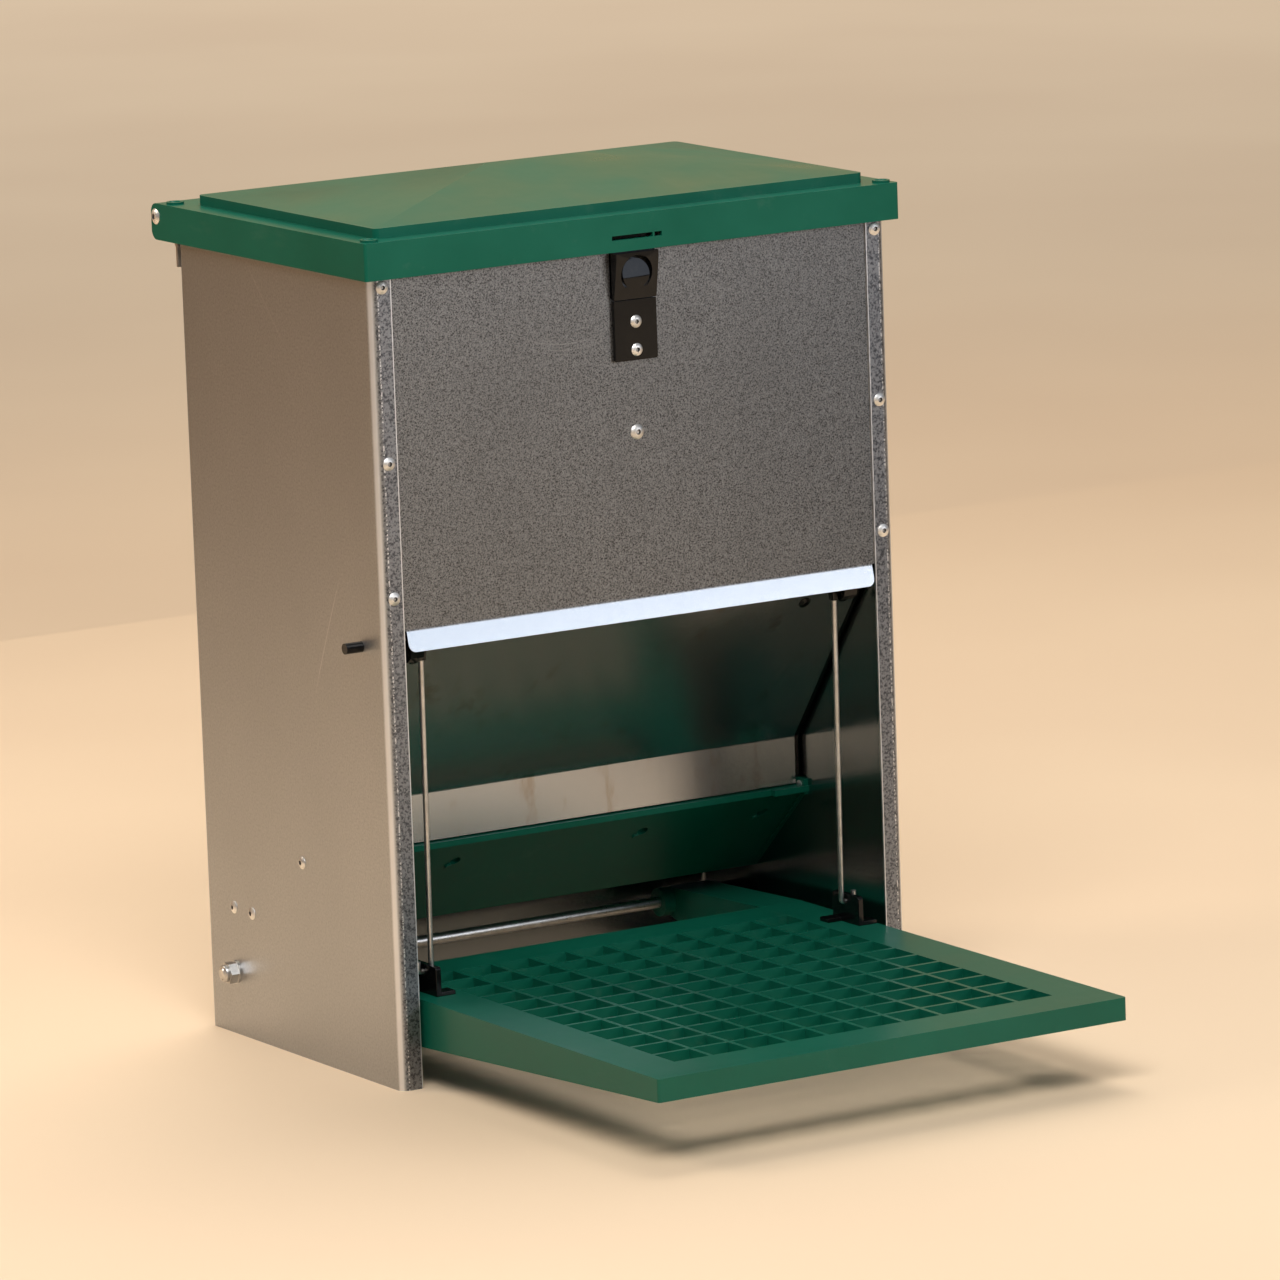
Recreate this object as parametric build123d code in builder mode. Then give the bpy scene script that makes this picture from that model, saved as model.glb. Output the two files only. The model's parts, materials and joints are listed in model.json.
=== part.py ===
"""Gravity poultry feeder: a galvanised hopper on a feed trough, closed by a flap that a treadle opens.

Millimetres, +Z up, +X to the right of someone facing the front, the front facing -Y.
The origin is on the ground under the middle of the whole feeder.
"""

import os
from math import cos, radians, sin

from build123d import *

os.makedirs("parts", exist_ok=True)

# ------------------------------------------------------------------ driving dimensions
sheet = 1.0                     # galvanised sheet
bend_radius = 4.5               # middle of the sheet, at the upright corners

half_width = 150.0              # outside of the side panels
body_front = 4.0                # outside of the front flanges
body_rear = 198.5               # outside of the rear flanges
body_top = 421.0
front_flange = 12.0
rear_flange = 15.0
foot_flange = 14.0              # turned in along the bottom of each side panel
panel_half_width = 144.6        # front and back panels, inside the upright bends

lip_top = 230.3                 # bright drip lip under the front panel
lip_height = 10.8
lip_lean = 2.7
lip_half_width = 136.5

lid_half_width = 155.0
lid_front = -1.5
lid_rear = 215.0
lid_wall = 2.5
rim_bottom = 405.4
rim_top = 424.0
crown_half_width = 142.0        # raised panel on the lid
crown_front = 11.0
crown_rear = 189.0
crown_step = 429.0
ridge_height = 442.0
ridge_half_length = 25.0
ridge_width = 0.4

hinge_y = 210.0                 # lid hinge axis
hinge_z = 417.3
hinge_pin_radius = 2.0

flap_pivot_y = 26.8             # feed flap pivot, along X
flap_pivot_z = 221.0
peg_radius = 2.75
peg_reach = 159.5

axle_y = 170.0                  # treadle axle, along X
axle_z = 32.5
axle_radius = 3.0
axle_reach = 158.4

rivet_shank = 1.6
rivet_head = 3.3
rivet_dome = 1.5
rivet_tail_length = 2.0
running_gap = 0.05

rod_radius = 1.4
rod_x = 121.5
rod_low_y = 20.0                # lower hook, in the treadle bracket
rod_low_z = 55.0
rod_high_y = 18.0               # upper hook, in the flap lever
rod_high_z = 224.0
eye_slack = 0.9                 # the lever eye is larger than the rod by this much all round

treadle_half_width = 135.0
treadle_front = -214.7
treadle_rear = 79.0             # back edge of the deck, where the two arms start
treadle_top = 44.0
arm_inner = 110.0

side_rivet_x = 143.2
front_rivet_heights = [401.0, 314.0, 247.0]
baffle_rivet_z = 313.7
trough_rivets = [(95.8, 101.2), (150.2, 66.2), (168.9, 66.4)]
back_rivet_heights = [28.0, 130.0, 245.0, 360.0]
hinge_rivet_heights = [397.0, 412.0]
latch_rivet_heights = [355.3, 369.4]


# ------------------------------------------------------------------ helpers
def save(builder, name):
    """Label a finished piece and write it to its own file."""
    builder.part.label = name
    export_step(builder.part, f"parts/{name}.step")


def mirrored(right, name):
    """Save the left-hand twin of a right-hand piece."""
    with BuildPart() as left:
        mirror(right.part, about=Plane.YZ)
    save(left, name)
    return left


def drill_along_y(points, radius, start, depth):
    """Holes along +Y at (x, z) points, starting at y = start."""
    for x, z in points:
        with BuildSketch(Plane(origin=(x, start, z), x_dir=(1, 0, 0), z_dir=(0, 1, 0))) as hole:
            Circle(radius)
        extrude(hole.sketch, amount=depth, mode=Mode.SUBTRACT)


def drill_along_x(points, radius, start, depth):
    """Holes along +X at (y, z) points, starting at x = start."""
    for y, z in points:
        with BuildSketch(Plane(origin=(start, y, z), x_dir=(0, 1, 0), z_dir=(1, 0, 0))) as hole:
            Circle(radius)
        extrude(hole.sketch, amount=depth, mode=Mode.SUBTRACT)


def add_rivet(origin, outward, across, grip, shank=rivet_shank, head=rivet_head, dome=rivet_dome,
              tail_length=rivet_tail_length):
    """A pop rivet: a domed head with its mandrel pit, a shank through the sheets and a blind tail."""
    tail = 0.7 * head
    pit = 0.36 * head
    rim = 0.3
    pit_top = dome - 0.2
    pit_floor = dome - 1.2
    side = Vector(*across)
    with BuildSketch(Plane(origin=origin, x_dir=side, z_dir=side.cross(Vector(*outward)))) as profile:
        with BuildLine():
            Polyline(
                (pit, pit_top),
                (pit, pit_floor),
                (0, pit_floor),
                (0, -grip - tail_length),
                (tail, -grip - tail_length),
                (tail, -grip),
                (shank, -grip),
                (shank, 0),
                (head, 0),
                (head, rim),
            )
            RadiusArc((head, rim), (pit, pit_top), -1.2 * head)
        make_face()
    revolve(profile.sketch, axis=Axis(origin, outward))


def solid_along_x(outline, start, width):
    """Extrude a closed (y, z) outline along +X from x = start."""
    with BuildSketch(Plane.YZ.offset(start)) as profile:
        with BuildLine():
            Polyline(*outline, close=True)
        make_face()
    extrude(profile.sketch, amount=width)


# ------------------------------------------------------------------ side panels
with BuildPart() as side_panel_right:
    with BuildSketch(Plane.XY):
        with BuildLine():
            FilletPolyline(
                (half_width - front_flange, body_front + sheet / 2),
                (half_width - sheet / 2, body_front + sheet / 2),
                (half_width - sheet / 2, body_rear - sheet / 2),
                (half_width - rear_flange, body_rear - sheet / 2),
                radius=bend_radius,
            )
        trace(line_width=sheet)
    extrude(amount=body_top)
    foot_front = body_front + 2 * bend_radius
    foot_rear = body_rear - 2 * bend_radius
    with BuildSketch(Plane.XY):
        with Locations((half_width - sheet - foot_flange / 2, (foot_front + foot_rear) / 2)):
            Rectangle(foot_flange, foot_rear - foot_front)
    extrude(amount=sheet)
    drill_along_x([(flap_pivot_y, flap_pivot_z)], peg_radius + running_gap, half_width - 5, 10)
    drill_along_x([(axle_y, axle_z)], axle_radius + running_gap, half_width - 5, 10)
    drill_along_x(trough_rivets, rivet_shank, half_width - 5, 10)
    drill_along_y([(side_rivet_x, z) for z in front_rivet_heights], rivet_shank, body_front - 2, 4)
    drill_along_y([(side_rivet_x, z) for z in back_rivet_heights + hinge_rivet_heights],
                  rivet_shank, body_rear - 3, 5)
save(side_panel_right, "side_panel_right")
side_panel_left = mirrored(side_panel_right, "side_panel_left")

# ------------------------------------------------------------------ front panel with its drip lip
panel_front = body_front + sheet
panel_back = panel_front + sheet
notch_half_width = 12.8         # lets the latch tongue flex inwards
notch_bottom = 381.5
lip_front_y = panel_front - lip_lean
lip_corner = 3.9
hem_rise = 5.0
with BuildPart() as front_panel:
    with BuildSketch(Plane(origin=(0, panel_front, 0), x_dir=(1, 0, 0), z_dir=(0, -1, 0))):
        with Locations((0, (lip_top + body_top) / 2)):
            Rectangle(2 * panel_half_width, body_top - lip_top)
        with Locations((0, (notch_bottom + body_top) / 2)):
            Rectangle(2 * notch_half_width, body_top - notch_bottom, mode=Mode.SUBTRACT)
    extrude(amount=-sheet)
    lip_bottom = lip_top - lip_height
    solid_along_x(
        [
            (panel_back, lip_top),
            (lip_front_y + sheet, lip_bottom),
            (lip_front_y, lip_bottom),
            (panel_front, lip_top),
        ],
        -lip_half_width, 2 * lip_half_width)
    fillet(front_panel.edges().filter_by(Axis.Y).group_by(Axis.Z)[0], lip_corner)
    # hem folded up behind the lip
    solid_along_x(
        [
            (lip_front_y + sheet, lip_bottom),
            (lip_front_y + 2 * sheet, lip_bottom),
            (lip_front_y + 2 * sheet + hem_rise * lip_lean / lip_height, lip_bottom + hem_rise),
            (lip_front_y + sheet + hem_rise * lip_lean / lip_height, lip_bottom + hem_rise),
        ],
        -lip_half_width + lip_corner, 2 * (lip_half_width - lip_corner))
    drill_along_y([(sign * side_rivet_x, z) for sign in (-1, 1) for z in front_rivet_heights],
                  rivet_shank, panel_front - 2, 5)
    drill_along_y([(0, baffle_rivet_z)] + [(0, z) for z in latch_rivet_heights],
                  rivet_shank, panel_front - 2, 5)
save(front_panel, "front_panel")

# ------------------------------------------------------------------ back panel
back_face = body_rear - sheet
with BuildPart() as back_panel:
    with BuildSketch(Plane(origin=(0, back_face, 0), x_dir=(1, 0, 0), z_dir=(0, -1, 0))):
        with Locations((0, body_top / 2)):
            Rectangle(2 * panel_half_width, body_top)
    extrude(amount=sheet)
    with BuildSketch(Plane.XY):
        with Locations((0, back_face - sheet - foot_flange / 2)):
            Rectangle(2 * panel_half_width - 40, foot_flange)
    extrude(amount=sheet)
    drill_along_y(
        [(sign * side_rivet_x, z) for sign in (-1, 1) for z in back_rivet_heights + hinge_rivet_heights],
        rivet_shank, back_face - 4, 5)
save(back_panel, "back_panel")

# ------------------------------------------------------------------ sloping floor of the hopper
baffle_flange_top = 322.0
baffle_knee_z = 306.0
baffle_rear_y = 168.0
baffle_rear_z = 212.0
baffle_bottom = 120.0
with BuildPart() as hopper_baffle:
    with BuildSketch(Plane.YZ.offset(-panel_half_width)):
        with BuildLine():
            Polyline(
                (panel_back + sheet / 2, baffle_flange_top),
                (panel_back + sheet / 2, baffle_knee_z),
                (baffle_rear_y, baffle_rear_z),
                (baffle_rear_y, baffle_bottom),
            )
        trace(line_width=sheet)
    extrude(amount=2 * panel_half_width)
    drill_along_y([(sign * side_rivet_x, front_rivet_heights[1]) for sign in (-1, 1)],
                  rivet_shank, panel_back - 1, 3)
    drill_along_y([(0, baffle_rivet_z)], rivet_shank, panel_back - 1, 3)
save(hopper_baffle, "hopper_baffle")

# ------------------------------------------------------------------ feed trough
trough_wall = 2.5
trough_half_width = half_width - sheet
trough_lip_y = 94.0
trough_lip_depth = 5.0
trough_lip_top = 101.0
trough_lip_bottom = 98.0
trough_floor_y = 144.0
trough_floor_z = 51.0
trough_rear = back_face - sheet
trough_rear_corner = 4.6
ear_front = 2.6                 # the end walls stand out past the lip as ears
ear_top = 104.5
tab_inner = 128.0                # end tabs of the lip, flush with the ears
tab_depth = 3.5
dimple_x = [-129.0, -56.0, 56.0, 129.0]
dimple_z = 87.5
dimple_radius = 3.0
dimple_depth = 1.9
nib_radius = 1.8
nib_height = 1.0
nib_side = 3.0                  # the nib sits this far beside and below its dimple
nib_drop = 3.8
pocket_radius = 2.6
pocket_depth = 1.0
short_tail = 0.5
slant_y = trough_floor_y - trough_lip_y
slant_z = trough_lip_bottom - trough_floor_z
slant_length = (slant_y ** 2 + slant_z ** 2) ** 0.5
dimple_y = trough_lip_y + (trough_lip_bottom - dimple_z) * slant_y / slant_z


def trough_face(x, drop):
    """A plane on the outside of the slanted front wall, facing out, a little further down it."""
    down = drop / slant_length
    return Plane(origin=(x, dimple_y + down * slant_y, dimple_z - down * slant_z),
                 x_dir=(1, 0, 0), z_dir=(0, -slant_z / slant_length, -slant_y / slant_length))


with BuildPart() as trough:
    solid_along_x(
        [
            (trough_lip_y, trough_lip_top),
            (trough_lip_y, trough_lip_bottom),
            (trough_floor_y, trough_floor_z),
            (trough_rear, trough_floor_z),
            (trough_rear, ear_top),
            (trough_rear - trough_wall, ear_top),
            (trough_rear - trough_wall, trough_floor_z + trough_wall),
            (trough_floor_y + 0.4 * trough_wall, trough_floor_z + trough_wall),
            (trough_lip_y + trough_lip_depth, trough_lip_bottom),
            (trough_lip_y + trough_lip_depth, trough_lip_top),
        ],
        -trough_half_width, 2 * trough_half_width)
    for start in (-trough_half_width, trough_half_width - trough_wall):
        solid_along_x(
            [
                (trough_lip_y - ear_front, ear_top),
                (trough_lip_y - ear_front, trough_lip_bottom - 1.5),
                (trough_lip_y, trough_lip_bottom - 1.5),
                (trough_floor_y, trough_floor_z),
                (trough_rear, trough_floor_z),
                (trough_rear, ear_top),
            ],
            start, trough_wall)
    for start in (-trough_half_width, tab_inner):
        with BuildSketch(Plane.XY.offset(trough_lip_bottom)):
            with Locations((start + (trough_half_width - tab_inner) / 2, trough_lip_y)):
                Rectangle(trough_half_width - tab_inner, 2 * tab_depth)
        extrude(amount=trough_lip_top - trough_lip_bottom)
    rear_corners = trough.edges().filter_by(Axis.Z).group_by(Axis.Y)[-1]
    fillet(rear_corners, trough_rear_corner)
    for sign in (-1, 1):
        drill_along_x(trough_rivets, rivet_shank, sign * trough_half_width - 5, 10)
    # pocket behind the foremost rivets, so that their tails can spread
    pocket_start = trough_half_width - trough_wall - pocket_depth
    for start in (pocket_start, -pocket_start - pocket_depth):
        drill_along_x(trough_rivets[0:1], pocket_radius, start, pocket_depth)
    # shallow moulded dimples in the front wall, each with a nib beside it
    for x in dimple_x:
        with BuildSketch(trough_face(x, 0)):
            Circle(dimple_radius)
        extrude(amount=-dimple_depth, mode=Mode.SUBTRACT)
        with BuildSketch(trough_face(x - nib_side, nib_drop)):
            Circle(nib_radius)
        extrude(amount=nib_height)
save(trough, "trough")

# ------------------------------------------------------------------ rivets that hold the body together
with BuildPart() as front_rivets:
    for sign in (-1, 1):
        for z in front_rivet_heights:
            stack = 3 * sheet if z == front_rivet_heights[1] else 2 * sheet
            add_rivet((sign * side_rivet_x, body_front, z), (0, -1, 0), (1, 0, 0), stack)
save(front_rivets, "front_rivets")

with BuildPart() as baffle_rivet:
    add_rivet((0, panel_front, baffle_rivet_z), (0, -1, 0), (1, 0, 0), 2 * sheet, head=3.8, dome=1.7)
save(baffle_rivet, "baffle_rivet")

with BuildPart() as back_rivets:
    for sign in (-1, 1):
        for z in back_rivet_heights:
            add_rivet((sign * side_rivet_x, body_rear, z), (0, 1, 0), (1, 0, 0), 2 * sheet)
save(back_rivets, "back_rivets")

with BuildPart() as trough_side_rivets:
    for sign in (-1, 1):
        for y, z in trough_rivets:
            tail_length = short_tail if (y, z) == trough_rivets[0] else rivet_tail_length
            add_rivet((sign * half_width, y, z), (sign, 0, 0), (0, 1, 0), sheet + trough_wall,
                      tail_length=tail_length)
save(trough_side_rivets, "trough_side_rivets")

# ------------------------------------------------------------------ lid hinge brackets
bracket_sheet = 1.5
bracket_width = 14.0
bracket_low = 392.0
ear_outer = half_width - 0.2
ear_round = 3.8
ear_foot_z = 402.0
ear_neck_z = 411.0
with BuildPart() as hinge_bracket_right:
    with BuildSketch(Plane(origin=(0, body_rear, 0), x_dir=(1, 0, 0), z_dir=(0, -1, 0))):
        with Locations((ear_outer - bracket_width / 2, (bracket_low + body_top) / 2)):
            Rectangle(bracket_width, body_top - bracket_low)
    extrude(amount=-bracket_sheet)
    with BuildSketch(Plane.YZ.offset(ear_outer - bracket_sheet)):
        with BuildLine():
            Polyline(
                (body_rear + bracket_sheet, body_top),
                (body_rear + bracket_sheet, ear_foot_z),
                (hinge_y - ear_round, ear_neck_z),
                (hinge_y, hinge_z - ear_round),
                (hinge_y, hinge_z + ear_round - 0.1),
                (hinge_y - ear_round / 2, body_top),
                close=True,
            )
        make_face()
        with Locations((hinge_y, hinge_z)):
            Circle(ear_round)
            Circle(hinge_pin_radius + running_gap, mode=Mode.SUBTRACT)
    extrude(amount=bracket_sheet)
    drill_along_y([(side_rivet_x, z) for z in hinge_rivet_heights], rivet_shank, body_rear - 1, 5)
save(hinge_bracket_right, "hinge_bracket_right")
hinge_bracket_left = mirrored(hinge_bracket_right, "hinge_bracket_left")

with BuildPart() as hinge_bracket_rivets:
    for sign in (-1, 1):
        for z in hinge_rivet_heights:
            add_rivet((sign * side_rivet_x, body_rear + bracket_sheet, z), (0, 1, 0), (1, 0, 0),
                      2 * sheet + bracket_sheet, dome=1.2)
save(hinge_bracket_rivets, "hinge_bracket_rivets")

# ------------------------------------------------------------------ lid
rim_inner_front = lid_front + lid_wall
rim_corner = 1.5
rim_rear_round = 5.0
crown_corner = 3.0
eaves_inset = 2.0
slot_z = 412.4
slot_height = 2.2
slot_spans = [(-14.5, 9.2), (10.2, 14.5)]
boss_radius = 4.5
boss_height = 1.2
boss_dish_radius = 3.3
boss_dish = 0.7
boss_places = [(148.7, 5.0), (148.7, 200.5)]
rear_wall_half_width = 146.0
rear_notch = lid_half_width - lid_wall - rear_wall_half_width
rear_wall_bottom = 412.0        # clears the hinge brackets as the lid swings back
rear_cut_depth = 16.0           # along Y, through the rear wall and its rounded edges
rear_cut_y = lid_rear - 4.0
crown_middle = (crown_front + crown_rear) / 2


def roof(inset, drop):
    """Hipped roof of the raised panel, shrunk by inset and lowered by drop."""
    with BuildSketch(Plane.XY.offset(crown_step - drop)) as eaves:
        with Locations((0, crown_middle)):
            Rectangle(2 * (crown_half_width - inset), crown_rear - crown_front - 2 * inset)
    with BuildSketch(Plane.XY.offset(ridge_height - drop)) as ridge:
        with Locations((0, crown_middle)):
            Rectangle(2 * ridge_half_length, ridge_width)
    return [eaves.sketch, ridge.sketch]


with BuildPart() as lid:
    with BuildSketch(Plane.XY.offset(rim_bottom)):
        with Locations((0, (lid_front + lid_rear) / 2)):
            Rectangle(2 * lid_half_width, lid_rear - lid_front)
    extrude(amount=rim_top - rim_bottom)
    fillet(lid.edges().filter_by(Axis.Z).sort_by(Axis.Y)[0:2], rim_corner)
    fillet(lid.edges().filter_by(Axis.X).sort_by(Axis.Y)[-2:], rim_rear_round)
    with BuildSketch(Plane.XY.offset(rim_top)):
        with Locations((0, crown_middle)):
            Rectangle(2 * crown_half_width, crown_rear - crown_front)
    extrude(amount=crown_step - rim_top)
    upright = lid.edges().filter_by(Axis.Z).filter_by(lambda edge: edge.center().Z > rim_top)
    fillet(upright, crown_corner)
    loft(roof(eaves_inset, 0.0), ruled=True)
    # hollow underside
    with BuildSketch(Plane.XY.offset(rim_bottom)):
        with Locations((0, (rim_inner_front + lid_rear - lid_wall) / 2)):
            Rectangle(2 * (lid_half_width - lid_wall), lid_rear - lid_wall - rim_inner_front)
    extrude(amount=rim_top - lid_wall - rim_bottom, mode=Mode.SUBTRACT)
    with BuildSketch(Plane.XY.offset(rim_top - lid_wall)):
        with Locations((0, crown_middle)):
            Rectangle(2 * (crown_half_width - lid_wall), crown_rear - crown_front - 2 * lid_wall)
    extrude(amount=crown_step - rim_top, mode=Mode.SUBTRACT)
    loft(roof(eaves_inset + lid_wall, lid_wall), ruled=True, mode=Mode.SUBTRACT)
    # the back wall stops short of the hinge ears and of the back panel
    for sign in (-1, 1):
        with BuildSketch(Plane.XY.offset(rim_bottom - 1)):
            with Locations((sign * (rear_wall_half_width + rear_notch / 2), rear_cut_y)):
                Rectangle(rear_notch, rear_cut_depth)
        extrude(amount=rim_top - lid_wall - rim_bottom + 1, mode=Mode.SUBTRACT)
    with BuildSketch(Plane.XY.offset(rim_bottom - 1)):
        with Locations((0, rear_cut_y)):
            Rectangle(2 * rear_wall_half_width + 2, rear_cut_depth)
    extrude(amount=rear_wall_bottom - rim_bottom + 1, mode=Mode.SUBTRACT)
    # slot for the latch, crossed by a thin web
    for low, high in slot_spans:
        with BuildSketch(Plane(origin=(0, lid_front - 1, 0), x_dir=(1, 0, 0), z_dir=(0, -1, 0))):
            with Locations(((low + high) / 2, slot_z)):
                Rectangle(high - low, slot_height)
        extrude(amount=-(lid_wall + 2), mode=Mode.SUBTRACT)
    # hinge pin holes
    for sign in (-1, 1):
        drill_along_x([(hinge_y, hinge_z)], hinge_pin_radius + running_gap, sign * lid_half_width - 5, 10)
    # round moulded buttons on the rim
    for x, y in boss_places:
        for sign in (-1, 1):
            with BuildSketch(Plane.XY.offset(rim_top)):
                with Locations((sign * x, y)):
                    Circle(boss_radius)
            extrude(amount=boss_height)
            with BuildSketch(Plane.XY.offset(rim_top + boss_height)):
                with Locations((sign * x, y)):
                    Circle(boss_dish_radius)
            extrude(amount=-boss_dish, taper=50, mode=Mode.SUBTRACT)
save(lid, "lid")

with BuildPart() as lid_hinge_rivets:
    for sign in (-1, 1):
        add_rivet((sign * lid_half_width, hinge_y, hinge_z), (sign, 0, 0), (0, 1, 0),
                  lid_half_width - ear_outer + bracket_sheet + 0.3,
                  shank=hinge_pin_radius, head=4.0, dome=1.8)
save(lid_hinge_rivets, "lid_hinge_rivets")

# ------------------------------------------------------------------ lid latch
latch_half_width = 12.3
latch_bottom = 350.0
latch_split = 380.6
latch_plate = 2.5
pad_bottom = 381.0
pad_top = 404.4
pad_reach = 6.3
tongue_top = 417.0
tongue_back = panel_front - 0.4
tongue_front = panel_front - 2.7
tooth_front = rim_inner_front + 0.3
tooth_low = 1.1                 # the tooth's edges, below and above the middle of the slot
tooth_high = 1.6
button_radius = 9.0
button_z = 393.5
button_ring = 1.2
button_groove = 1.6
with BuildPart() as latch_base:
    solid_along_x(
        [
            (panel_front, latch_bottom),
            (panel_front - latch_plate, latch_bottom),
            (panel_front - latch_plate, latch_split - 0.2),
            (panel_front, latch_split - 0.2),
        ],
        -latch_half_width, 2 * latch_half_width)
    fillet(latch_base.edges().filter_by(Axis.Y).sort_by(Axis.Z)[0:2], 1.0)
    drill_along_y([(0, z) for z in latch_rivet_heights], rivet_shank, -5, 12)
save(latch_base, "latch_base")

with BuildPart() as latch_tongue:
    solid_along_x(
        [
            (tongue_back, latch_split + 0.2),
            (tongue_front - 0.2, latch_split + 0.2),
            (panel_front - pad_reach, pad_top - 3.0),
            (panel_front - pad_reach, pad_top),
            (tongue_front, pad_top),
            (tongue_front, slot_z - tooth_low),
            (tooth_front, slot_z - tooth_low + 0.3),
            (tongue_front, slot_z + tooth_high),
            (tongue_front, tongue_top),
            (tongue_back, tongue_top),
        ],
        -latch_half_width, 2 * latch_half_width)
    ramp = Plane(origin=(0, panel_front - 4.3, button_z), x_dir=(1, 0, 0), z_dir=(0, -0.985, 0.174))
    with BuildSketch(ramp):
        Circle(button_radius)
    extrude(amount=5.0, mode=Mode.SUBTRACT)
    with BuildSketch(ramp.offset(-button_groove)):
        Circle(button_radius)
        Circle(button_radius - button_ring, mode=Mode.SUBTRACT)
    extrude(amount=button_groove + 0.1, mode=Mode.SUBTRACT)
save(latch_tongue, "latch_tongue")

with BuildPart() as latch_rivets:
    for z in latch_rivet_heights:
        add_rivet((0, panel_front - latch_plate, z), (0, -1, 0), (1, 0, 0), latch_plate + sheet, head=3.2)
save(latch_rivets, "latch_rivets")

# ------------------------------------------------------------------ treadle axle and its fittings
nut_inner = half_width + 1.0
nut_hex_height = 4.6
nut_height = 7.0                # with the round collar of its locking ring
nut_flats = 10.0
nut_collar_radius = 4.5
nut_collar_round = 1.2
washer_radius = 6.0
with BuildPart() as treadle_axle:
    with BuildSketch(Plane.YZ.offset(-axle_reach)):
        with Locations((axle_y, axle_z)):
            Circle(axle_radius)
    extrude(amount=2 * axle_reach)
    chamfer(treadle_axle.faces().filter_by(Axis.X).edges(), 0.6)
save(treadle_axle, "treadle_axle")

with BuildPart() as axle_nuts:
    for sign in (-1, 1):
        with BuildSketch(Plane.YZ.offset(sign * nut_inner)):
            with Locations((axle_y, axle_z)):
                RegularPolygon(nut_flats / 2, 6, major_radius=False)
        extrude(amount=sign * nut_hex_height)
        with BuildSketch(Plane.YZ.offset(sign * nut_inner)):
            with Locations((axle_y, axle_z)):
                Circle(nut_collar_radius)
        extrude(amount=sign * nut_height)
    fillet(axle_nuts.faces().sort_by(Axis.X)[0].edges(), nut_collar_round)
    fillet(axle_nuts.faces().sort_by(Axis.X)[-1].edges(), nut_collar_round)
    drill_along_x([(axle_y, axle_z)], axle_radius + running_gap / 2, -axle_reach - 1, 2 * axle_reach + 2)
save(axle_nuts, "axle_nuts")

with BuildPart() as axle_washers:
    for sign in (-1, 1):
        start = half_width if sign > 0 else -nut_inner
        with BuildSketch(Plane.YZ.offset(start)):
            with Locations((axle_y, axle_z)):
                Circle(washer_radius)
                Circle(axle_radius + 0.2, mode=Mode.SUBTRACT)
        extrude(amount=nut_inner - half_width)
save(axle_washers, "axle_washers")

spacer_gap = 0.4
with BuildPart() as axle_spacers:
    for sign in (-1, 1):
        near = treadle_half_width + spacer_gap
        start = near if sign > 0 else -(half_width - sheet)
        with BuildSketch(Plane.YZ.offset(start)):
            with Locations((axle_y, axle_z)):
                Circle(5.5)
                Circle(axle_radius + 0.1, mode=Mode.SUBTRACT)
        extrude(amount=half_width - sheet - near)
save(axle_spacers, "axle_spacers")

# ------------------------------------------------------------------ treadle
deck = 3.0
skirt = 2.5
bar = 2.3
cell_columns = 10
cell_rows = 12
cell_pitch_x = 22.1
cell_pitch_y = 20.33
grate_front = -189.0
grate_rear = grate_front + cell_rows * cell_pitch_y
grate_middle = (grate_front + grate_rear) / 2
grate_half_width = cell_columns * cell_pitch_x / 2
bar_depth = 9.0
front_bottom = 32.5
skirt_low = 19.8
skirt_low_y = 7.0
arm_round = 7.5
hub_boss = 6.5                  # the hubs stand in from the arms by this much
rear_skirt_bottom = 24.0
side_outline = [
    (treadle_front, treadle_top),
    (treadle_front, front_bottom),
    (skirt_low_y, skirt_low),
    (axle_y - 12, axle_z - arm_round - 3),
    (axle_y, axle_z - arm_round),
    (axle_y, axle_z + arm_round),
    (treadle_rear, treadle_top),
]
inner_outline = [
    (treadle_rear - skirt, treadle_top),
    (treadle_rear - skirt, rear_skirt_bottom),
    (axle_y - 12, axle_z - arm_round - 3),
    (axle_y, axle_z - arm_round),
    (axle_y, axle_z + arm_round),
    (treadle_rear, treadle_top),
]
arm_width = treadle_half_width - arm_inner
rib_count = 4
rib_pitch = 65.0
rib_middle_y = -52.5
rib_thickness = 2.0
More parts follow.
